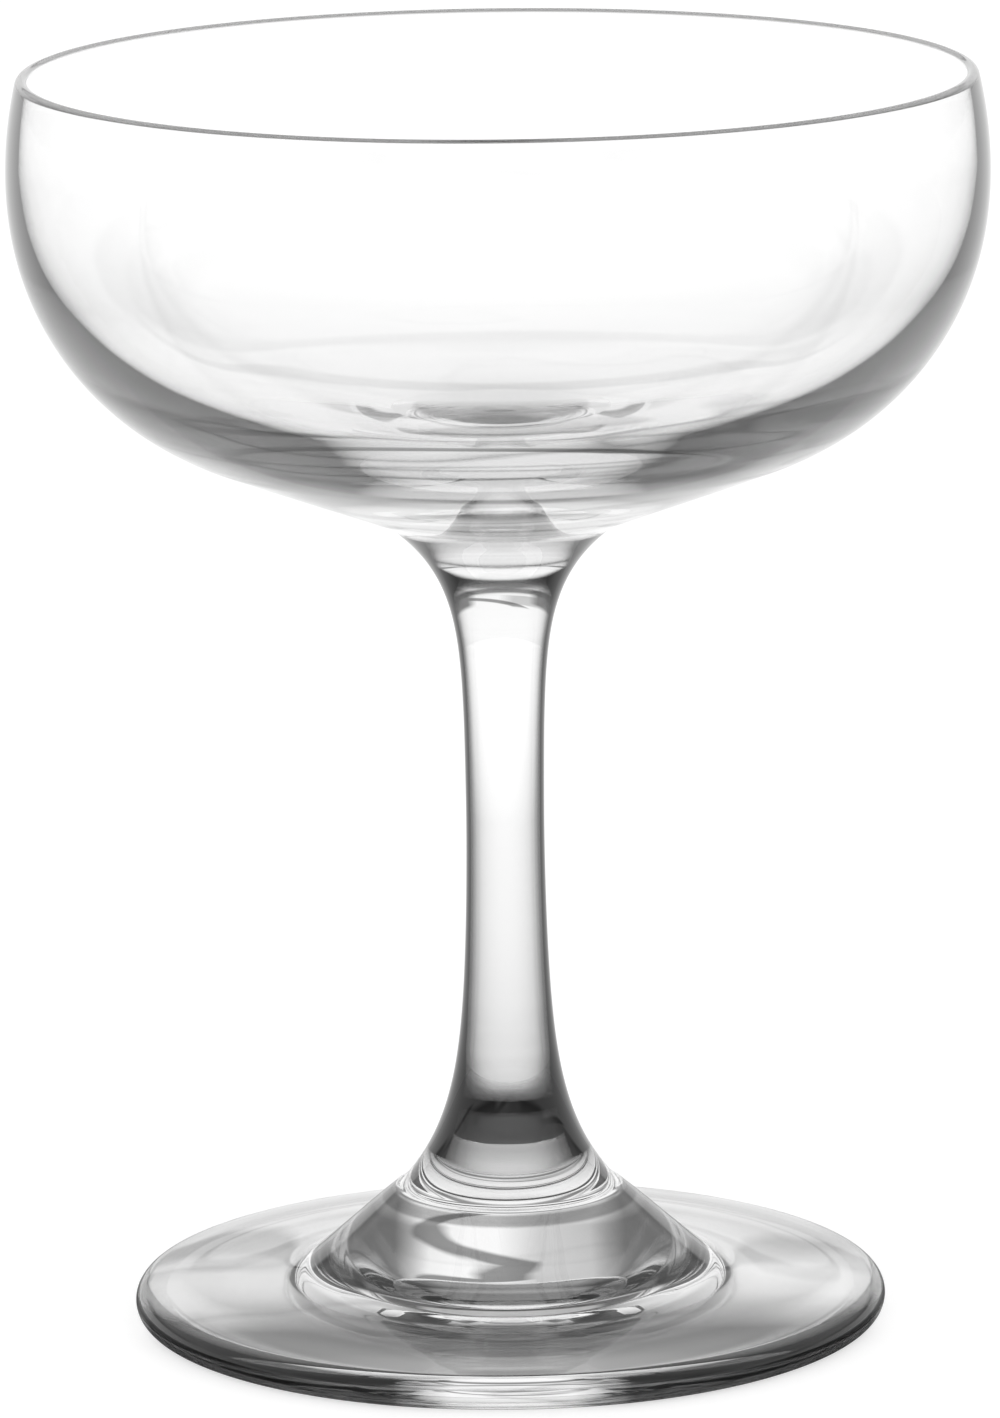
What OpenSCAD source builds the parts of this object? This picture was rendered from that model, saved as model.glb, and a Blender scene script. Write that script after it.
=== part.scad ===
// Coupe glass: a clear saucer-shaped bowl, a drawn stem and a pressed foot, each its own piece of glass.
// The pieces are round about the Z axis, and each meets the next face to face on a flat fused joint.
// The origin is the centre of the resting ring under the foot, and Z points up to the rim.

/* [Overall] */
// Height from the table to the top of the rim
glass_h = 111; // [100:0.5:130]

/* [Bowl] */
// Outside diameter at the widest circle
bowl_d = 85.4; // [80:0.2:96]
// Drop from the top of the rim to the widest circle
rim_drop = 8.8; // [7:0.1:11]
// Thickness of the wall at the rim and at the widest circle
wall = 1.2; // [0.9:0.05:1.6]
// Radius of the inward curve between the widest circle and the rim
lip_curve_r = 36; // [28:0.5:50]
// Radius of the first curve below the widest circle
shoulder_r = 30; // [27:0.5:34]
// Angle through which that first curve turns
shoulder_turn = 11; // [6:0.5:18]
// Radius of the curve that rounds the side into the underside
belly_r = 25.5; // [23.5:0.25:26.5]
// Slope of the straight underside above level
underside_slope = 21; // [18:0.5:26]
// Radius of the curve round the inside of the hollow
hollow_r = 22; // [20:0.25:23]
// Slope at which that curve meets the dished floor
floor_slope = 10; // [6:0.5:14]

/* [Stem] */
// Diameter where the stem is fused to the bowl
neck_d = 20.6; // [17:0.2:24]
// Diameter at the waist
waist_d = 6.9; // [5.6:0.1:9]
// Height of the waist above the table
waist_h = 45; // [36:0.5:52]
// Diameter where the stem is fused to the foot
root_d = 19.4; // [16:0.2:22]
// Part of the spread above the waist that comes from the slow taper
neck_taper_share = 0.14; // [0.05:0.01:0.3]
// Part of the spread below the waist that comes from the slow taper
root_taper_share = 0.28; // [0.15:0.01:0.4]
// Power that sets how late the stem flares towards its ends
flare_power = 6; // [4:0.5:8]

/* [Foot] */
// Diameter of the foot
foot_d = 66.6; // [60:0.2:76]
// Thickness of the rounded edge
edge_t = 3.1; // [2.4:0.1:4]
// Slope of the disc from its edge up towards the boss
disc_slope = 3.5; // [1.5:0.25:6]
// Height of the boss, where the stem is fused on
boss_h = 11.6; // [9.5:0.1:13]
// Slope of the side of the boss
boss_slope = 41; // [34:0.5:48]
// Radius of the fillet between the boss and the disc
boss_fillet_r = 5; // [2:0.25:8]
// Width of the ledge that stands out round the fused joint
seam_ledge = 0.8; // [0.4:0.05:1.4]
// Rounding of that ledge
seam_round_r = 0.8; // [0.3:0.05:1]
// Width of the flat ring that the glass rests on
rest_ring_w = 1.4; // [0.8:0.1:2.5]
// Rise of the hollowed underside at its centre
dish_rise = 1.2; // [0.6:0.1:2]
// Diameter of the pressed round mark under the foot
mark_d = 26.6; // [22:0.2:30]
// Depth of the mark
mark_depth = 0.9; // [0.4:0.05:1.4]
// Width of the sloped step round the mark
mark_step_w = 1.7; // [0.8:0.1:2.5]

/* [Hidden] */
$fn = 64;
GLASS = "lightcyan";

// Steps along a curve of the outline, by how far the curve turns
belly_steps = 12;
shoulder_steps = 3;
lip_steps = 4;
rim_steps = 10;
hollow_steps = 13;
floor_steps = 5;
stem_steps = 12;
edge_steps = 5;
fillet_steps = 4;
ledge_steps = 3;
dish_steps = 3;

// Bowl, outside: heights and the centres of its curves
widest_h = glass_h - rim_drop;
rim_r = wall / 2;
lip_turn = asin((rim_drop - rim_r) / (lip_curve_r - rim_r));
lip_c = [bowl_d / 2 - lip_curve_r, widest_h];
rim_c = lip_c + (lip_curve_r - rim_r) * [cos(lip_turn), sin(lip_turn)];
shoulder_c = [bowl_d / 2 - shoulder_r, widest_h];
belly_c = shoulder_c + (shoulder_r - belly_r) * [cos(shoulder_turn), -sin(shoulder_turn)];
belly_end = belly_c + belly_r * [sin(underside_slope), -cos(underside_slope)];
neck_h = belly_end[1] - (belly_end[0] - neck_d / 2) * tan(underside_slope);

// Bowl, inside: the side of the hollow, and a dished floor whose centre is on the axis
hollow_c = [bowl_d / 2 - wall - hollow_r, widest_h];
hollow_end = hollow_c + hollow_r * [sin(floor_slope), -cos(floor_slope)];
floor_r = hollow_end[0] / sin(floor_slope);
floor_c = [0, hollow_end[1] + floor_r * cos(floor_slope)];

// Foot: the edge, the disc line, the boss line and the fillet where the two lines meet
edge_r = edge_t / 2;
edge_c = [foot_d / 2 - edge_r, edge_r];
disc_out = edge_c + edge_r * [sin(disc_slope), cos(disc_slope)];
ledge_c = [root_d / 2 + seam_ledge - seam_round_r, boss_h - seam_round_r];
boss_top = ledge_c + seam_round_r * [sin(boss_slope), cos(boss_slope)];
corner_r = (boss_top[1] - disc_out[1] + boss_top[0] * tan(boss_slope) - disc_out[0] * tan(disc_slope))
    / (tan(boss_slope) - tan(disc_slope));
corner = [corner_r, disc_out[1] + (disc_out[0] - corner_r) * tan(disc_slope)];
fillet_half = (boss_slope - disc_slope) / 2;
fillet_in = corner + boss_fillet_r * tan(fillet_half) * [-cos(boss_slope), sin(boss_slope)];
fillet_c = fillet_in + boss_fillet_r * [sin(boss_slope), cos(boss_slope)];

// Foot, underneath: the resting ring, the hollowed underside and the pressed mark
ring_in_r = foot_d / 2 - edge_r - rest_ring_w;
dish_r = (pow(ring_in_r, 2) + pow(dish_rise, 2)) / (2 * dish_rise);
mark_in_r = mark_d / 2 - mark_step_w;

// Points along an arc about c, from angle a0 to angle a1
function arc(c, r, a0, a1, steps) =
    [for (i = [0:steps]) let (a = a0 + (a1 - a0) * i / steps) c + r * [cos(a), sin(a)]];

// Radius of the stem where it has gone the share t of the way from its waist to an end
function stem_r(end_d, taper_share, t) =
    (waist_d + (end_d - waist_d) * (taper_share * pow(t, 2) + (1 - taper_share) * pow(t, flare_power))) / 2;

// Points of the stem from its waist to an end, closer together where it flares
function stem_side(end_h, end_d, taper_share) =
    [for (i = [0:stem_steps]) let (t = sin(90 * i / stem_steps))
        [stem_r(end_d, taper_share, t), waist_h + (end_h - waist_h) * t]];

// A list turned end for end, and a list without its first item
function turned(list) = [for (i = [len(list) - 1:-1:0]) list[i]];
function after_first(list) = [for (i = [1:len(list) - 1]) list[i]];

// Height of the hollowed underside at radius r
function dish_h(r) = dish_rise - dish_r + sqrt(pow(dish_r, 2) - pow(r, 2));

// Outside of the bowl, from its flat base up to the rim
function bowl_outside() = concat(
    [[0, neck_h], [neck_d / 2, neck_h]],
    arc(belly_c, belly_r, underside_slope - 90, -shoulder_turn, belly_steps),
    after_first(arc(shoulder_c, shoulder_r, -shoulder_turn, 0, shoulder_steps)),
    after_first(arc(lip_c, lip_curve_r, 0, lip_turn, lip_steps)));

// Rounded rim and inside of the bowl, down to the centre of its floor
function bowl_inside() = concat(
    after_first(arc(rim_c, rim_r, lip_turn, lip_turn + 180, rim_steps)),
    after_first(arc(lip_c, lip_curve_r - wall, lip_turn, 0, lip_steps)),
    after_first(arc(hollow_c, hollow_r, 0, floor_slope - 90, hollow_steps)),
    after_first(arc(floor_c, floor_r, floor_slope - 90, -90, floor_steps)));

// Underside of the foot, from the centre of the mark out to the resting ring
function foot_underside() = concat(
    [[0, dish_rise + mark_depth], [mark_in_r, dish_h(mark_in_r) + mark_depth]],
    [for (i = [0:dish_steps]) let (r = mark_d / 2 + (ring_in_r - mark_d / 2) * i / dish_steps) [r, dish_h(r)]],
    [[edge_c[0], 0]]);

// Edge and top of the foot, from the resting ring up to the fused joint
function foot_top() = concat(
    after_first(arc(edge_c, edge_r, -90, 90 - disc_slope, 2 * edge_steps)),
    arc(fillet_c, boss_fillet_r, -90 - disc_slope, -90 - boss_slope, fillet_steps),
    arc(ledge_c, seam_round_r, 90 - boss_slope, 90, ledge_steps),
    [[0, boss_h]]);

// Blown bowl: thin at the rim, thicker towards the solid base that the stem is fused to
module bowl() {
    color(GLASS)
        rotate_extrude()
            polygon(concat(bowl_outside(), bowl_inside()));
}

// Solid stem: a narrow waist that flares late into the bowl and sooner into the foot
module stem() {
    color(GLASS)
        rotate_extrude()
            polygon(concat(
                [[0, boss_h]],
                turned(stem_side(boss_h, root_d, root_taper_share)),
                after_first(stem_side(neck_h, neck_d, neck_taper_share)),
                [[0, neck_h]]));
}

// Pressed foot: a rounded disc that rises to a boss, hollowed a little underneath
module foot() {
    color(GLASS)
        rotate_extrude()
            polygon(concat(foot_underside(), foot_top()));
}

bowl();
stem();
foot();
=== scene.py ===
import math

import bmesh
import bpy
from mathutils import Matrix, Vector


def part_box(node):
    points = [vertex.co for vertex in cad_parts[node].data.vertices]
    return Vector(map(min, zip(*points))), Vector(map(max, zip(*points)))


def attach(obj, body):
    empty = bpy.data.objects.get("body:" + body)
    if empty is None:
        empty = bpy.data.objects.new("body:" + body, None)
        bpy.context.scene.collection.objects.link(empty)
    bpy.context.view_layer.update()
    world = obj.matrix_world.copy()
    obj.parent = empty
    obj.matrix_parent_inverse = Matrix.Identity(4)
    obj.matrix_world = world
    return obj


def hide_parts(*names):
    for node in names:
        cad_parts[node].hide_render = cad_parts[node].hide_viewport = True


bl_info = {
    "name": "Coupe glass",
    "version": (1, 0, 0),
    "blender": (4, 5, 0),
    "location": "View3D > Sidebar > Coupe glass",
    "description": "Clear glass finish, studio and camera for a coupe glass in three fused pieces",
    "category": "Object",
}

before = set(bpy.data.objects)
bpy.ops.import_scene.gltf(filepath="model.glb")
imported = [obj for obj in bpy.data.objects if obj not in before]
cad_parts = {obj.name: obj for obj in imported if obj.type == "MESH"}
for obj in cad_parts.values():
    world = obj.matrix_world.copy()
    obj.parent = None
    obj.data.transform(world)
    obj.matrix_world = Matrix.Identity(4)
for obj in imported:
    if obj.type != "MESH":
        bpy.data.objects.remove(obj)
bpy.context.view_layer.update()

ROOT = "root"
MM = 0.001
DEGREE = math.radians(1)

# Distance within which two points are one, and the turn below which an outline runs straight on
MERGE = 1e-6
STRAIGHT = math.radians(0.6)

# Order of the materials on a piece
OUTSIDE, FUSED, INSIDE = 0, 1, 2


class StemwareSettings(bpy.types.PropertyGroup):
    """Sizes and colours of the glass pieces, and the colour of their painted edge shade"""

    segments: bpy.props.IntProperty(
        name="Segments", description="Faces round each piece", default=256, min=32)
    curve_steps: bpy.props.IntProperty(
        name="Curve steps", description="Points between two points of the CAD outline", default=4, min=1)
    crease: bpy.props.FloatProperty(
        name="Crease", description="A sharper bend of the outline than this stays a sharp edge",
        default=math.radians(34), subtype="ANGLE")
    ior: bpy.props.FloatProperty(
        name="IOR", description="Refractive index of the glass", default=1.5)
    tint: bpy.props.FloatVectorProperty(
        name="Tint", description="Colour of the glass seen square on", subtype="COLOR",
        default=(0.995, 0.995, 0.995), min=0, max=1)
    # Painted shade: the colour that the glass takes where it is seen along its surface, which darkens its
    # edges
    painted_shade_colour: bpy.props.FloatVectorProperty(
        name="Painted shade colour", description="Colour of the glass seen along its surface", subtype="COLOR",
        default=(0.0, 0.0, 0.0), min=0, max=1)


class StudioSettings(bpy.types.PropertyGroup):
    """Camera in front of the glass"""

    camera_distance: bpy.props.FloatProperty(
        name="Camera distance", description="From the axis of the glass to the camera, along the floor",
        default=0.7737, unit="LENGTH")
    camera_height: bpy.props.FloatProperty(
        name="Camera height", description="Above the floor", default=0.2183, unit="LENGTH")
    camera_side: bpy.props.FloatProperty(
        name="Camera side", description="Place along X; below zero is to the left",
        default=-0.00035, unit="LENGTH")
    camera_pitch: bpy.props.FloatProperty(
        name="Camera pitch", description="Downward tilt", default=math.radians(11.95), subtype="ANGLE")
    camera_roll: bpy.props.FloatProperty(
        name="Camera roll", description="Turn about the line of sight", default=math.radians(0.65),
        subtype="ANGLE")
    lens: bpy.props.FloatProperty(
        name="Lens", description="Focal length in mm on a 36 mm frame", default=228.7)


# Shapes

def half_section(node):
    """Outline of a CAD node on the +X side of the axis, from one end on the axis to the other"""
    bm = bmesh.new()
    bm.from_mesh(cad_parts[node].data)
    bmesh.ops.remove_doubles(bm, verts=bm.verts, dist=MERGE)
    for normal, both in (((0, 1, 0), True), ((1, 0, 0), False)):
        bmesh.ops.bisect_plane(bm, geom=bm.verts[:] + bm.edges[:] + bm.faces[:], dist=MERGE / 10,
                               plane_co=(0, 0, 0), plane_no=normal, clear_inner=True, clear_outer=both)
    ends = sorted((v for v in bm.verts if len(v.link_edges) == 1), key=lambda v: v.co.z)
    here, seen, points = ends[0], set(), []
    while here is not None:
        seen.add(here)
        points.append(Vector((max(here.co.x, 0.0), here.co.z)))
        here = next((v for e in here.link_edges for v in e.verts if v not in seen), None)
    bm.free()
    return straightened(points)


def straightened(points):
    """The outline without the points that lie on a straight stretch"""
    kept = [points[0]]
    for here, after in zip(points[1:], points[2:]):
        if (here - kept[-1]).length < MERGE * 10:
            continue
        if abs((here - kept[-1]).angle_signed(after - here)) > STRAIGHT:
            kept.append(here)
    return kept + [points[-1]]


def smoothed(points, steps, crease):
    """Centripetal Catmull-Rom curve through the outline, with its sharp bends and its level stretches kept"""
    level = [abs(b.y - a.y) < MERGE for a, b in zip(points, points[1:])]
    corners = [0]
    for i, (a, b, c) in enumerate(zip(points, points[1:], points[2:]), start=1):
        if level[i - 1] or level[i] or abs((b - a).angle_signed(c - b)) > crease:
            corners.append(i)
    corners.append(len(points) - 1)
    curve = [points[0]]
    for first, last in zip(corners, corners[1:]):
        run = points[first:last + 1]
        if len(run) == 2:
            curve.append(run[1])
            continue
        run = [2 * run[0] - run[1]] + run + [2 * run[-1] - run[-2]]
        for p in zip(run, run[1:], run[2:], run[3:]):
            curve.extend(span(p, step / steps) for step in range(1, steps + 1))
    return curve


def span(p, share):
    """Point at a share of the way from p[1] to p[2] on the curve through the four points"""
    t = [0.0]
    for a, b in zip(p, p[1:]):
        t.append(t[-1] + math.sqrt((b - a).length))
    at = t[1] + (t[2] - t[1]) * share

    def between(a, b, ta, tb):
        return a * ((tb - at) / (tb - ta)) + b * ((at - ta) / (tb - ta))

    low = [between(p[i], p[i + 1], t[i], t[i + 1]) for i in range(3)]
    mid = [between(low[i], low[i + 1], t[i], t[i + 2]) for i in range(2)]
    return between(mid[0], mid[1], t[1], t[2])


def turned_piece(name, node, materials):
    """A smooth closed solid of revolution on the outline of a CAD node

    The materials are those of its outside, of its fused faces and, where it is hollow, of its inside.
    """
    sizes = bpy.context.scene.stemware
    outline = smoothed(half_section(node), sizes.curve_steps, sizes.crease)
    joints = [corner.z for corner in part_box("stem")]
    bm = bmesh.new()
    verts = [bm.verts.new((p.x, 0.0, p.y)) for p in outline]
    edges = [bm.edges.new(pair) for pair in zip(verts, verts[1:])]
    bmesh.ops.spin(bm, geom=verts + edges, cent=(0, 0, 0), axis=(0, 0, 1), angle=math.tau,
                   steps=sizes.segments, use_merge=True)
    bmesh.ops.remove_doubles(bm, verts=bm.verts, dist=MERGE)
    bmesh.ops.recalc_face_normals(bm, faces=bm.faces)
    for face in bm.faces:
        heights = [v.co.z for v in face.verts]
        flat = max(heights) - min(heights) < MERGE
        inward = face.normal.xy.dot(face.calc_center_median().xy) < 0
        if flat and any(abs(heights[0] - joint) < MERGE * 10 for joint in joints):
            face.material_index = FUSED
        elif inward and len(materials) > INSIDE:
            face.material_index = INSIDE
        else:
            face.material_index = OUTSIDE
        face.smooth = face.material_index != FUSED
    for edge in bm.edges:
        fused = sum(face.material_index == FUSED for face in edge.link_faces)
        edge.smooth = fused != 1 and edge.calc_face_angle(0.0) < sizes.crease
    mesh = bpy.data.meshes.new(name)
    bm.to_mesh(mesh)
    bm.free()
    piece = bpy.data.objects.new(name, mesh)
    bpy.context.scene.collection.objects.link(piece)
    for material in materials:
        mesh.materials.append(material)
    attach(piece, ROOT)
    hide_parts(node)
    return piece


# Shader nodes

def worked(tree, operation, *values):
    """Result of a maths node; a value is a number or another node's output"""
    node = tree.nodes.new("ShaderNodeMath")
    node.operation = operation
    for socket, value in zip(node.inputs, values):
        if isinstance(value, bpy.types.NodeSocket):
            tree.links.new(value, socket)
        else:
            socket.default_value = value
    return node.outputs["Value"]


def mixed(tree, factor, first, second, blend="MIX"):
    """A colour mix; a colour is another node's output or a grey level"""
    node = tree.nodes.new("ShaderNodeMix")
    node.data_type = "RGBA"
    node.blend_type = blend
    for name, value in (("Factor", factor), ("A", first), ("B", second)):
        if isinstance(value, bpy.types.NodeSocket):
            tree.links.new(value, node.inputs[name])
        else:
            node.inputs[name].default_value = value if name == "Factor" else (value, value, value, 1)
    return node.outputs["Result"]


def graded(tree, value, stops):
    """A grey ramp over a value from 0 to 1: stops are pairs of a place and a brightness"""
    ramp = tree.nodes.new("ShaderNodeValToRGB")
    tree.links.new(value, ramp.inputs["Fac"])
    elements = ramp.color_ramp.elements
    while len(elements) < len(stops):
        elements.new(0.5)
    for element, (place, level) in zip(elements, stops):
        element.position = place
        element.color = (level, level, level, 1)
    return ramp.outputs["Color"]


def ranged(tree, value, stops, scale=1.0):
    """A grey ramp over any range: stops are pairs of a place, in units of the scale, and a brightness"""
    low, high = stops[0][0], stops[-1][0]
    share = tree.nodes.new("ShaderNodeMapRange")
    share.inputs["From Min"].default_value = low * scale
    share.inputs["From Max"].default_value = high * scale
    tree.links.new(value, share.inputs["Value"])
    return graded(tree, share.outputs["Result"], [((at - low) / (high - low), level) for at, level in stops])


def split_position(tree):
    """X, Y and Z of the point in object coordinates"""
    coords = tree.nodes.new("ShaderNodeTexCoord")
    split = tree.nodes.new("ShaderNodeSeparateXYZ")
    tree.links.new(coords.outputs["Object"], split.inputs["Vector"])
    return split.outputs["X"], split.outputs["Y"], split.outputs["Z"]


def from_axis(tree, place):
    """Distance of the place from the axis of the glass"""
    squares = [worked(tree, "POWER", along, 2.0) for along in place[:2]]
    return worked(tree, "SQRT", worked(tree, "ADD", *squares))


def by_height(tree, place, stops):
    """A grey ramp over the height of the place: stops are pairs of a height in mm and a brightness"""
    return ranged(tree, place[2], stops, MM)


# Glass

# Waves to the metre along X, Y and Z
RIPPLE_SCALE = (35.0, 35.0, 420.0)
# Share of the streak by the level of the waves, from 0 in clear glass to 1; the streak darkens the colour,
# partly for striae and partly as painted shade
THREAD_SHADE = ((0.0, 0.7), (0.36, 0.7), (0.42, 0.0), (0.55, 0.0), (0.58, 1.0), (0.61, 0.3), (0.66, 0.0),
          (1.0, 0.0))
# Patches of haze to the metre, and the roughness by their level
HAZE_SCALE = 45.0
HAZE = ((0.0, 0.0), (0.5, 0.0), (0.8, 0.012), (1.0, 0.02))
# Light that has turned inside the glass more often than this passes out, where it would otherwise be lost
TURNS = 3.5


def fired_surface():
    """Group: the faint level ripples that turning in the fire leaves, a little haze, and streak lines that
    darken the colour, partly for striae and partly as painted shade
    """
    if "fired_surface" in bpy.data.node_groups:
        return bpy.data.node_groups["fired_surface"]
    tree = bpy.data.node_groups.new("fired_surface", "ShaderNodeTree")
    ripple = tree.interface.new_socket("Ripple", in_out="INPUT", socket_type="NodeSocketFloat")
    ripple.description = "Depth of the ripples in metres"
    # The streak shade depth sets how far the streak lines darken the colour, partly for striae and partly as
    # painted shade
    streak = tree.interface.new_socket("Streak shade depth", in_out="INPUT", socket_type="NodeSocketFloat")
    streak.description = "Share of the light that the darkest streak takes away"
    for output in ("Streaks", "Height", "Roughness"):
        tree.interface.new_socket(output, in_out="OUTPUT", socket_type="NodeSocketFloat")
    inlet, outlet = tree.nodes.new("NodeGroupInput"), tree.nodes.new("NodeGroupOutput")
    coords = tree.nodes.new("ShaderNodeTexCoord")
    stretch = tree.nodes.new("ShaderNodeMapping")
    stretch.inputs["Scale"].default_value = RIPPLE_SCALE
    tree.links.new(coords.outputs["Object"], stretch.inputs["Vector"])
    waves = tree.nodes.new("ShaderNodeTexNoise")
    waves.inputs["Scale"].default_value = 1.0
    waves.inputs["Detail"].default_value = 1.0
    tree.links.new(stretch.outputs["Vector"], waves.inputs["Vector"])
    height = worked(tree, "MULTIPLY", waves.outputs["Fac"], inlet.outputs["Ripple"])
    tree.links.new(height, outlet.inputs["Height"])
    # Streak lines: painted shade in the colour along the same waves as the ripples, partly standing for
    # striae
    thread_shade = graded(tree, waves.outputs["Fac"], THREAD_SHADE)
    thread_shade = worked(tree, "MULTIPLY", thread_shade, inlet.outputs["Streak shade depth"])
    tree.links.new(worked(tree, "SUBTRACT", 1.0, thread_shade), outlet.inputs["Streaks"])
    haze = tree.nodes.new("ShaderNodeTexNoise")
    haze.inputs["Scale"].default_value = HAZE_SCALE
    tree.links.new(coords.outputs["Object"], haze.inputs["Vector"])
    tree.links.new(graded(tree, haze.outputs["Fac"], HAZE), outlet.inputs["Roughness"])
    return tree


def clear_glass(name, edge_shade, ripple, streak_shade):
    """Clear glass, with painted shade in its colour where edge_shade says so, for light that enters it

    edge_shade builds the painted shade from how square on the surface is seen, 0 along it and 1 straight on,
    and from the place. ripple and streak_shade are pairs of a height in mm and a depth; the streak shade
    darkens the colour, partly for striae and partly as painted shade.
    """
    sizes = bpy.context.scene.stemware
    material = bpy.data.materials.new(name)
    material.use_nodes = True
    tree = material.node_tree
    nodes, links = tree.nodes, tree.links
    glass = nodes["Principled BSDF"]
    glass.inputs["IOR"].default_value = sizes.ior
    glass.inputs["Transmission Weight"].default_value = 1.0
    place = split_position(tree)
    surface = nodes.new("ShaderNodeGroup")
    surface.node_tree = fired_surface()
    links.new(by_height(tree, place, ripple), surface.inputs["Ripple"])
    links.new(by_height(tree, place, streak_shade), surface.inputs["Streak shade depth"])
    links.new(surface.outputs["Roughness"], glass.inputs["Roughness"])
    bump = nodes.new("ShaderNodeBump")
    bump.inputs["Distance"].default_value = 1.0
    links.new(surface.outputs["Height"], bump.inputs["Height"])
    links.new(bump.outputs["Normal"], glass.inputs["Normal"])
    weight = nodes.new("ShaderNodeLayerWeight")
    links.new(bump.outputs["Normal"], weight.inputs["Normal"])
    square_on = worked(tree, "SUBTRACT", 1.0, weight.outputs["Facing"])
    shade = worked(tree, "MULTIPLY", edge_shade(tree, square_on, place), surface.outputs["Streaks"])
    # Painted shade: the colour runs from the painted shade colour to the tint, and stays the tint where light
    # leaves the glass
    geometry = nodes.new("ShaderNodeNewGeometry")
    colour = nodes.new("ShaderNodeMix")
    colour.data_type = "RGBA"
    links.new(worked(tree, "MAXIMUM", shade, geometry.outputs["Backfacing"]), colour.inputs["Factor"])
    colour.inputs["A"].default_value = (*sizes.painted_shade_colour, 1)
    colour.inputs["B"].default_value = (*sizes.tint, 1)
    links.new(colour.outputs["Result"], glass.inputs["Base Color"])
    path = nodes.new("ShaderNodeLightPath")
    links.new(worked(tree, "LESS_THAN", path.outputs["Glossy Depth"], TURNS), glass.inputs["Alpha"])
    return material


def fused_joint(name="fused_joint", shade=None):
    """Inside of a fused joint, where light passes from one piece of glass to the next

    shade builds a painted shade for light on its way down; without it the joint is clear.
    """
    if name in bpy.data.materials:
        return bpy.data.materials[name]
    material = bpy.data.materials.new(name)
    material.use_nodes = True
    tree = material.node_tree
    tree.nodes.remove(tree.nodes["Principled BSDF"])
    clear = tree.nodes.new("ShaderNodeBsdfTransparent")
    if shade is not None:
        geometry = tree.nodes.new("ShaderNodeNewGeometry")
        tree.links.new(mixed(tree, geometry.outputs["Backfacing"], 1.0, shade(tree)), clear.inputs["Color"])
    tree.links.new(clear.outputs["BSDF"], tree.nodes["Material Output"].inputs["Surface"])
    return material


# Bowl

# How square on the wall is seen where its band of painted shade ends, by height in mm
WALL_EDGE = ((72, 0.0), (76, 0.1), (78, 0.19), (79.5, 0.31), (80.7, 0.4), (82.8, 0.49), (84.6, 0.56),
             (86, 0.54), (88, 0.48), (90.7, 0.42), (93.7, 0.37), (96.6, 0.32), (99.7, 0.285), (102.1, 0.27),
             (104.5, 0.25), (109.5, 0.235), (110.65, 0.235), (110.8, 1.3), (111, 1.3))
# The painted shade by how much more square on than that it is seen: at the silhouette, and past the end of
# the band
WALL_BEFORE = ((-0.16, 1.0), (-0.12, 0.7), (-0.06, 0.1), (0.0, 0.0))
WALL_PAST = ((-0.02, 0.0), (0.01, 0.2), (0.05, 0.5), (0.1, 0.68), (0.18, 0.8), (0.3, 0.87), (0.45, 0.95),
             (0.7, 1.0))
# By height in mm: how much of the silhouette's painted shade there is, and how fast the wall clears past the
# band
WALL_LEAST = ((72, 1.0), (74.5, 0.75), (77, 0.5), (79, 0.36), (80, 0.25), (81, 0.15), (82, 0.08), (84, 0.02),
              (88, 0.01), (92, 0.0), (110.65, 0.0), (110.8, 0.12), (111, 0.12))
WALL_GAIN = ((72, 2.5), (91, 2.5), (94, 1.0), (104, 1.0), (107, 1.8), (111, 1.8))
# By height in mm: painted shade over the whole wall, darkest in a band, painted shade in fine level rings,
# and the shade that it never falls below
WALL_BAND_SHADE = ((72, 1.0), (80, 1.0), (84, 0.92), (95, 0.87), (97, 0.89), (99.5, 0.96), (102, 1.0), (111, 1.0))
WALL_RING_SHADE = ((72, 1.0), (73, 1.0), (73.25, 0.3), (73.5, 1.0), (77.8, 1.0), (78.05, 0.03), (78.45, 0.03),
              (78.7, 1.0), (80.9, 1.0), (81.1, 0.25), (81.3, 0.8), (81.8, 0.8), (82, 0.3), (82.2, 1.0),
              (84, 1.0))
WALL_LOWEST = ((72, 0.1), (84, 0.05), (88, 0.02), (92, 0.01), (95, 0.0), (111, 0.0))
# By height in mm: the depth of the ripples in metres, and of the streak shade, partly striae and partly
# painted shade
WALL_RIPPLE = ((72, 1.6e-5), (84, 1.6e-5), (89, 3e-6), (111, 3e-6))
WALL_STREAK_SHADE = ((72, 0.65), (86, 0.65), (89, 0.0), (111, 0.0))
INSIDE_RIPPLE = ((78, 3e-6), (111, 1e-6))
INSIDE_STREAK_SHADE = ((78, 0.1), (84, 0.0), (111, 0.0))
# Inside of the bowl: the painted shade of the rim by height in mm, and of the floor by distance from the axis
# in mm
RIM = ((109, 1.0), (110.65, 1.0), (110.8, 0.15), (111, 0.15))
INSIDE_MIDDLE = ((0, 0.72), (4, 0.74), (8, 0.9), (12, 1.0), (50, 1.0))
# Joint under the bowl: the painted shade by distance from the axis in mm, by place along Y in mm, and by how
# square on the light meets it
JOINT_MIDDLE = ((0, 0.4), (7.6, 0.4), (8.6, 1.0), (11, 1.0))
JOINT_BACK = ((-11, 0.0), (-5, 0.0), (4, 1.0), (11, 1.0))
JOINT_STEEP = ((0.0, 1.0), (0.62, 1.0), (0.68, 0.0), (1.0, 0.0))


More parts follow.
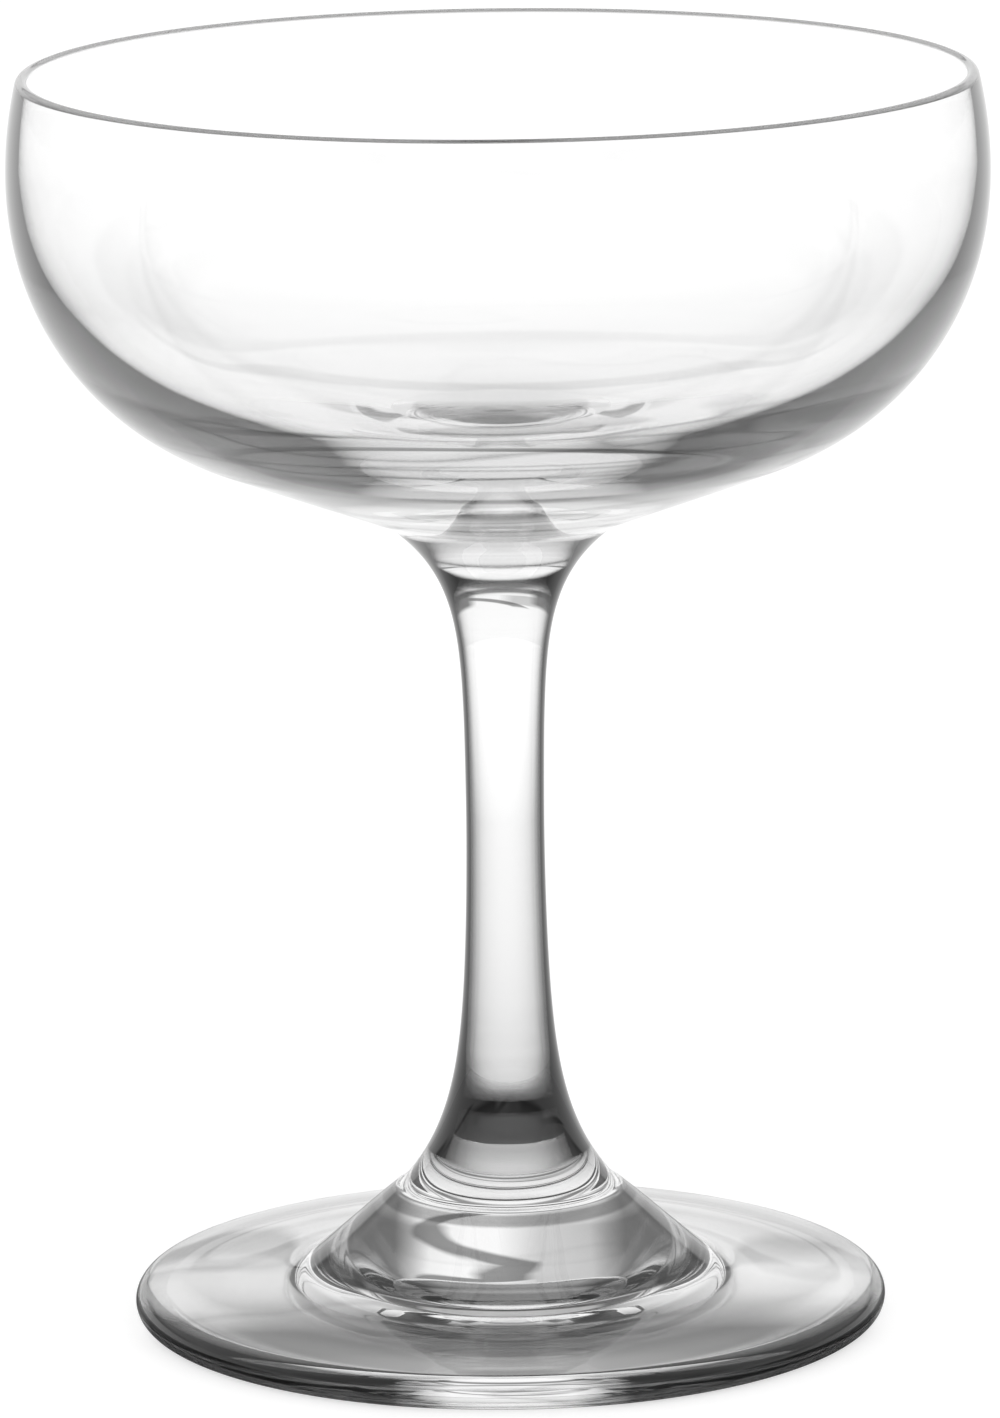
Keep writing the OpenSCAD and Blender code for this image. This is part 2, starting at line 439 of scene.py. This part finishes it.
def wall_shade(tree, square_on, place):
    """Painted shade, dark from the silhouette in to where the inside of the wall shows, a band that widens
    downwards
    """
    past = worked(tree, "SUBTRACT", square_on, by_height(tree, place, WALL_EDGE))
    before = worked(tree, "MULTIPLY", ranged(tree, past, WALL_BEFORE), by_height(tree, place, WALL_LEAST))
    beyond = ranged(tree, worked(tree, "MULTIPLY", past, by_height(tree, place, WALL_GAIN)), WALL_PAST)
    shade = worked(tree, "ADD", beyond, before)
    for part in (WALL_BAND_SHADE, WALL_RING_SHADE):
        shade = worked(tree, "MULTIPLY", shade, by_height(tree, place, part))
    return worked(tree, "MAXIMUM", shade, by_height(tree, place, WALL_LOWEST))


def inside_shade(tree, square_on, place):
    """Clear but for painted shade on the rounded rim and in the middle of the floor, over the stem"""
    middle = ranged(tree, from_axis(tree, place), INSIDE_MIDDLE, MM)
    return worked(tree, "MULTIPLY", by_height(tree, place, RIM), middle)


def neck_shade(tree):
    """Painted shade: dim in the middle of the joint under the bowl, towards the front, for light that comes
    down steeply
    """
    place = split_position(tree)
    weight = tree.nodes.new("ShaderNodeLayerWeight")
    square_on = worked(tree, "SUBTRACT", 1.0, weight.outputs["Facing"])
    middle = ranged(tree, from_axis(tree, place), JOINT_MIDDLE, MM)
    shade = worked(tree, "MAXIMUM", middle, ranged(tree, place[1], JOINT_BACK, MM))
    return worked(tree, "MAXIMUM", shade, graded(tree, square_on, JOINT_STEEP))


class STEMWARE_OT_bowl(bpy.types.Operator):
    """Add the blown bowl"""

    bl_idname = "stemware.bowl"
    bl_label = "Bowl"

    def execute(self, context):
        outside = clear_glass("bowl_glass", wall_shade, WALL_RIPPLE, WALL_STREAK_SHADE)
        inside = clear_glass("bowl_inside", inside_shade, INSIDE_RIPPLE, INSIDE_STREAK_SHADE)
        turned_piece("Bowl", "bowl", [outside, fused_joint("bowl_joint", neck_shade), inside])
        return {"FINISHED"}


# Stem

# How square on the stem is seen where its painted dark side begins to clear, by height in mm
STEM_EDGE = ((11, 0.64), (21, 0.64), (22, 0.63), (24.5, 0.53), (29, 0.47), (36, 0.45), (50, 0.44),
             (60, 0.42), (64, 0.38), (65.3, 0.45), (66.5, 0.55), (67.3, 0.55), (68, 0.3), (69.8, 0.3),
             (71, 0.27), (72, 0.27))
# The painted shade by how much more square on than that it is seen, and how fast it clears, by height in mm
STEM_SIDE = ((0.0, 0.0), (0.1, 0.03), (0.19, 0.137), (0.25, 0.29), (0.31, 0.45), (0.42, 0.67), (0.52, 0.83),
             (0.64, 0.97), (0.8, 1.0))
STEM_GAIN = ((11, 1.0), (45, 1.0), (62, 2.0), (67, 2.0), (68, 3.5), (72, 3.5))
# By height in mm: 1 where the sides stay clear, and the bands of painted shade
STEM_LEAST = ((11, 1.0), (13, 1.0), (15, 0.0), (70.9, 0.0), (71.2, 1.0), (72, 1.0))
STEM_BAND_SHADE = ((11, 1.0), (12.2, 1.0), (12.4, 0.35), (12.6, 1.0), (18.9, 1.0), (19.2, 0.0), (20.3, 0.0),
              (20.8, 0.06), (21.3, 0.25), (21.8, 0.8), (22.1, 1.0), (66.2, 1.0), (66.55, 0.12), (66.9, 0.05),
              (67.3, 0.05), (67.5, 1.0), (68.4, 1.0), (68.58, 0.08), (68.78, 0.08), (68.95, 1.0), (72, 1.0))
# By height in mm: the depth of the ripples in metres, and of the streak shade, partly striae and partly
# painted shade
STEM_RIPPLE = ((11, 4e-6), (72, 4e-6))
STEM_STREAK_SHADE = ((11, 0.1), (22, 0.0), (66, 0.0), (72, 0.2))


def rod_shade(tree, square_on, place):
    """Painted shade at the sides of the stem, and in bands near each end"""
    past = worked(tree, "SUBTRACT", square_on, by_height(tree, place, STEM_EDGE))
    clearing = ranged(tree, worked(tree, "MULTIPLY", past, by_height(tree, place, STEM_GAIN)), STEM_SIDE)
    side = worked(tree, "MAXIMUM", clearing, by_height(tree, place, STEM_LEAST))
    return worked(tree, "MULTIPLY", side, by_height(tree, place, STEM_BAND_SHADE))


class STEMWARE_OT_stem(bpy.types.Operator):
    """Add the drawn stem"""

    bl_idname = "stemware.stem"
    bl_label = "Stem"

    def execute(self, context):
        outside = clear_glass("stem_glass", rod_shade, STEM_RIPPLE, STEM_STREAK_SHADE)
        turned_piece("Stem", "stem", [outside, fused_joint()])
        return {"FINISHED"}


# Foot

# Rings of painted shade by height in mm; the one round the seam is partly the seam's own dark line
FOOT_RING_SHADE = ((0, 1.0), (5.05, 1.0), (5.2, 0.04), (5.9, 0.04), (6.2, 0.2), (6.45, 1.0), (10.4, 1.0),
              (10.6, 0.22), (11.25, 0.22), (11.45, 1.0), (12, 1.0))
# Flanks of the boss: the painted shade by how square on they are seen, and by height in mm, where 1 is off
# them
FOOT_FLANK = ((0.0, 0.15), (0.45, 0.18), (0.62, 0.4), (0.8, 1.0), (1.0, 1.0))
FLANK_HEIGHT = ((0, 1.0), (4.8, 1.0), (5.3, 0.0), (9.6, 0.0), (10.4, 1.0), (12, 1.0))
# Rounded edge: the painted shade by the turn in degrees from the nearest of four clear places, and by height
# in mm, where 1 is off it
EDGE_TURN = ((0, 1.0), (9, 1.0), (14, 0.3), (18, 0.02), (45, 0.01))
EDGE_HEIGHT = ((0, 0.0), (2.7, 0.0), (2.98, 1.0), (12, 1.0))
# Rings of painted shade on the front of the disc: how they fade by place along Y in mm, and the shade by
# height in mm
RING_FADE = ((-32, 0.0), (-17, 0.0), (-8, 0.6), (0, 1.0), (32, 1.0))
FRONT_RING_SHADE = ((0, 1.0), (3.3, 1.0), (3.4, 0.5), (3.5, 0.3), (3.65, 0.3), (3.75, 0.06), (3.95, 0.03),
               (4.1, 0.5), (4.3, 1.0), (12, 1.0))
# By height in mm: the depth of the ripples in metres, and of the streak shade, partly striae and partly
# painted shade
FOOT_RIPPLE = ((0, 1.2e-5), (12, 1.2e-5))
FOOT_STREAK_SHADE = ((0, 0.4), (4.2, 0.4), (6, 0.15), (12, 0.15))


def foot_shade(tree, square_on, place):
    """Painted shade round the seam, partly its own dark line, in the fillet, on the flanks of the boss, along
    most of the rounded edge, and in rings on the front of the disc
    """
    turn = worked(tree, "PINGPONG", worked(tree, "ARCTAN2", place[0], place[1]), math.pi / 4)
    flank = graded(tree, square_on, FOOT_FLANK)
    edge = ranged(tree, turn, EDGE_TURN, DEGREE)
    front = ranged(tree, place[1], RING_FADE, MM)
    shade = by_height(tree, place, FOOT_RING_SHADE)
    for part, heights in ((flank, FLANK_HEIGHT), (edge, EDGE_HEIGHT), (front, FRONT_RING_SHADE)):
        part = worked(tree, "MAXIMUM", part, by_height(tree, place, heights))
        shade = worked(tree, "MULTIPLY", shade, part)
    return shade


class STEMWARE_OT_foot(bpy.types.Operator):
    """Add the pressed foot"""

    bl_idname = "stemware.foot"
    bl_label = "Foot"

    def execute(self, context):
        outside = clear_glass("foot_glass", foot_shade, FOOT_RIPPLE, FOOT_STREAK_SHADE)
        turned_piece("Foot", "foot", [outside, fused_joint()])
        return {"FINISHED"}


# Studio

# Floor: its radius in metres, the number of its sides, its own colour and its glow
FLOOR_RADIUS = 3.0
FLOOR_SIDES = 96
FLOOR_COLOUR = 0.5
FLOOR_GLOW = 0.66
# Painted shadow and light on the floor seen in the glass, as brightness: by distance from the axis in mm,
# under the middle of the foot by place along Y in mm, and in front of the axis by place along Y in mm
FLOOR_SHADE = ((0, 0.06), (12, 0.07), (13.5, 0.1), (16, 0.55), (17.5, 0.75), (19, 0.95), (20, 1.0), (24, 1.0),
               (27, 0.9), (38, 0.85), (52, 0.86), (91, 0.9), (132, 0.94), (207, 0.98), (309, 1.0))
FLOOR_MIDDLE = ((-14, 0.0), (-12, 0.6), (-5, 0.6), (-3, 0.0))
FLOOR_FRONT = ((-60, 0.9), (-40, 0.55), (-33, 0.52), (-26, 0.5), (-22, 0.28), (-15, 0.13), (-8, 1.0),
               (0, 1.0))
# Painted shadow on the floor in a reflection, as brightness: by distance from the axis in mm, and behind the
# glass by place along Y in mm
FLOOR_NEAR = ((0, 0.1), (36, 0.1), (48, 0.35), (75, 0.75), (150, 1.0))
FLOOR_BEHIND = ((40, 0.0), (80, 1.0))

# Brightness of the sky by the sine of the elevation: in a panel, and in the gap between two panels
PANEL_SHADE = ((0.0, 1.0), (0.35, 1.0), (0.385, 0.28), (0.475, 0.28), (0.54, 1.0), (1.0, 1.0))
GAP_SHADE = ((0.0, 1.0), (0.2, 1.0), (0.24, 0.2), (0.34, 0.2), (0.37, 0.1), (0.475, 0.1), (0.56, 1.0),
             (1.0, 1.0))
# Share of the panel by the turn from its middle in degrees
PANEL_EDGE = ((0, 1.0), (19, 1.0), (28, 0.0), (45, 0.0))
# The bar across a panel: its height at the middle and its rise with each radian of turn, as sines; the shade
# by the distance from it, and how it ends low down, by the sine of the elevation
BAR_HEIGHT = 0.225
BAR_RISE = 0.19
BAR_SHADE = ((-0.04, 1.0), (-0.026, 1.0), (-0.014, 0.3), (0.014, 0.3), (0.026, 1.0), (0.04, 1.0))
BAR_LOW = ((0.0, 1.0), (0.175, 1.0), (0.195, 0.0), (1.0, 0.0))
# The dimmer side of a panel: the shade by turn in degrees, and by the sine of the elevation, where 1 is off
DIM_SIDE = ((-45, 0.62), (-7, 0.62), (3, 1.0), (45, 1.0))
DIM_HEIGHT = ((0.0, 1.0), (0.2, 1.0), (0.225, 0.0), (0.3, 0.0), (0.325, 1.0), (1.0, 1.0))
# A mirror reflection sees this much of a plain grey in place of the sky, by the sine of the elevation
PLAIN_HEIGHT = ((0.0, 0.0), (0.2, 0.0), (0.35, 0.9), (1.0, 0.9))
PLAIN_LEVEL = 0.85

# Camera: the width of its frame in mm, and the nearest and furthest that it sees in metres
SENSOR_WIDTH = 36.0
CLIP = (0.01, 20)


def seen_in_glass(tree):
    """1 for rays that the glass has bent or reflected, and 0 for the camera's own"""
    path = tree.nodes.new("ShaderNodeLightPath")
    return worked(tree, "MAXIMUM", path.outputs["Is Glossy Ray"], path.outputs["Is Transmission Ray"])


def add_floor():
    """A white floor that keeps the shadow of the glass"""
    bm = bmesh.new()
    bmesh.ops.create_circle(bm, cap_ends=True, segments=FLOOR_SIDES, radius=FLOOR_RADIUS)
    mesh = bpy.data.meshes.new("Floor")
    bm.to_mesh(mesh)
    bm.free()
    floor = bpy.data.objects.new("Floor", mesh)
    bpy.context.scene.collection.objects.link(floor)
    mesh.materials.append(white_floor())


def white_floor():
    """White to the camera; in the glass it has painted shadow under and round the foot"""
    material = bpy.data.materials.new("floor_white")
    material.use_nodes = True
    tree = material.node_tree
    tree.nodes.remove(tree.nodes["Principled BSDF"])
    place = split_position(tree)
    along, away = place[1], from_axis(tree, place)
    # Painted shadow and light on the floor, for rays that the glass has bent or reflected
    painted_shadow = ranged(tree, away, FLOOR_SHADE, MM)
    painted_shadow = worked(tree, "MAXIMUM", painted_shadow, ranged(tree, along, FLOOR_MIDDLE, MM))
    painted_shadow = worked(tree, "MULTIPLY", painted_shadow, ranged(tree, along, FLOOR_FRONT, MM))
    path = tree.nodes.new("ShaderNodeLightPath")
    straight = worked(tree, "SUBTRACT", 1.0, path.outputs["Is Reflection Ray"])
    near = ranged(tree, away, FLOOR_NEAR, MM)
    near = worked(tree, "MAXIMUM", near, ranged(tree, along, FLOOR_BEHIND, MM))
    painted_shadow = worked(tree, "MULTIPLY", painted_shadow, worked(tree, "MAXIMUM", near, straight))
    tone = mixed(tree, seen_in_glass(tree), 1.0, painted_shadow)
    diffuse = tree.nodes.new("ShaderNodeBsdfDiffuse")
    tree.links.new(mixed(tree, 1.0, tone, FLOOR_COLOUR, "MULTIPLY"), diffuse.inputs["Color"])
    glow = tree.nodes.new("ShaderNodeEmission")
    glow.inputs["Strength"].default_value = FLOOR_GLOW
    tree.links.new(tone, glow.inputs["Color"])
    both = tree.nodes.new("ShaderNodeAddShader")
    tree.links.new(diffuse.outputs["BSDF"], both.inputs[0])
    tree.links.new(glow.outputs["Emission"], both.inputs[1])
    tree.links.new(both.outputs["Shader"], tree.nodes["Material Output"].inputs["Surface"])
    return material


def add_world():
    """White all round; above the horizon four lit panels, the gaps between them, and a bright ceiling"""
    world = bpy.data.worlds.new("Studio")
    bpy.context.scene.world = world
    world.use_nodes = True
    tree = world.node_tree
    coords = tree.nodes.new("ShaderNodeTexCoord")
    split = tree.nodes.new("ShaderNodeSeparateXYZ")
    tree.links.new(coords.outputs["Generated"], split.inputs["Vector"])
    rise = split.outputs["Z"]
    azimuth = worked(tree, "ARCTAN2", split.outputs["X"], split.outputs["Y"])
    turn = worked(tree, "WRAP", azimuth, math.pi / 4, -math.pi / 4)
    from_bar = worked(tree, "SUBTRACT", rise, BAR_HEIGHT)
    from_bar = worked(tree, "SUBTRACT", from_bar, worked(tree, "MULTIPLY", turn, BAR_RISE))
    bar = worked(tree, "MAXIMUM", ranged(tree, from_bar, BAR_SHADE), graded(tree, rise, BAR_LOW))
    dim = worked(tree, "MAXIMUM", ranged(tree, turn, DIM_SIDE, DEGREE), graded(tree, rise, DIM_HEIGHT))
    panel = graded(tree, rise, PANEL_SHADE)
    for part in (bar, dim):
        panel = mixed(tree, 1.0, panel, part, "MULTIPLY")
    share = ranged(tree, worked(tree, "ABSOLUTE", turn), PANEL_EDGE, DEGREE)
    sky = mixed(tree, share, graded(tree, rise, GAP_SHADE), panel)
    path = tree.nodes.new("ShaderNodeLightPath")
    mirrored = worked(tree, "MULTIPLY", path.outputs["Is Reflection Ray"], path.outputs["Is Glossy Ray"])
    plain = worked(tree, "MULTIPLY", mirrored, graded(tree, rise, PLAIN_HEIGHT))
    seen = mixed(tree, path.outputs["Is Camera Ray"], mixed(tree, plain, sky, PLAIN_LEVEL), 1.0)
    tree.links.new(seen, tree.nodes["Background"].inputs["Color"])
    tree.nodes["Background"].inputs["Strength"].default_value = 1.0


def add_camera():
    """The camera at the photograph's angle"""
    studio = bpy.context.scene.studio
    data = bpy.data.cameras.new("Camera")
    data.lens = studio.lens
    data.sensor_width = SENSOR_WIDTH
    data.clip_start, data.clip_end = CLIP
    camera = bpy.data.objects.new("Camera", data)
    bpy.context.scene.collection.objects.link(camera)
    place = Matrix.Translation((studio.camera_side, -studio.camera_distance, studio.camera_height))
    tilt = Matrix.Rotation(math.pi / 2 - studio.camera_pitch, 4, "X")
    camera.matrix_world = place @ tilt @ Matrix.Rotation(-studio.camera_roll, 4, "Z")
    bpy.context.scene.camera = camera


class STEMWARE_OT_studio(bpy.types.Operator):
    """Set up the floor, the light and the camera"""

    bl_idname = "stemware.studio"
    bl_label = "Studio"

    def execute(self, context):
        add_floor()
        add_world()
        add_camera()
        context.scene.view_settings.view_transform = "Standard"
        return {"FINISHED"}


class STEMWARE_PT_panel(bpy.types.Panel):
    """Lists the steps"""

    bl_idname = "STEMWARE_PT_panel"
    bl_label = "Coupe glass"
    bl_space_type = "VIEW_3D"
    bl_region_type = "UI"
    bl_category = "Coupe glass"

    def draw(self, context):
        for step in STEPS:
            self.layout.operator(step.bl_idname)


STEPS = (STEMWARE_OT_bowl, STEMWARE_OT_stem, STEMWARE_OT_foot, STEMWARE_OT_studio)
CLASSES = (StemwareSettings, StudioSettings, *STEPS, STEMWARE_PT_panel)


def register():
    for cls in CLASSES:
        bpy.utils.register_class(cls)
    bpy.types.Scene.stemware = bpy.props.PointerProperty(type=StemwareSettings)
    bpy.types.Scene.studio = bpy.props.PointerProperty(type=StudioSettings)


def unregister():
    del bpy.types.Scene.studio
    del bpy.types.Scene.stemware
    for cls in reversed(CLASSES):
        bpy.utils.unregister_class(cls)


def main():
    register()
    bpy.ops.stemware.bowl()
    bpy.ops.stemware.stem()
    bpy.ops.stemware.foot()
    bpy.ops.stemware.studio()


if __name__ == "__main__":
    main()
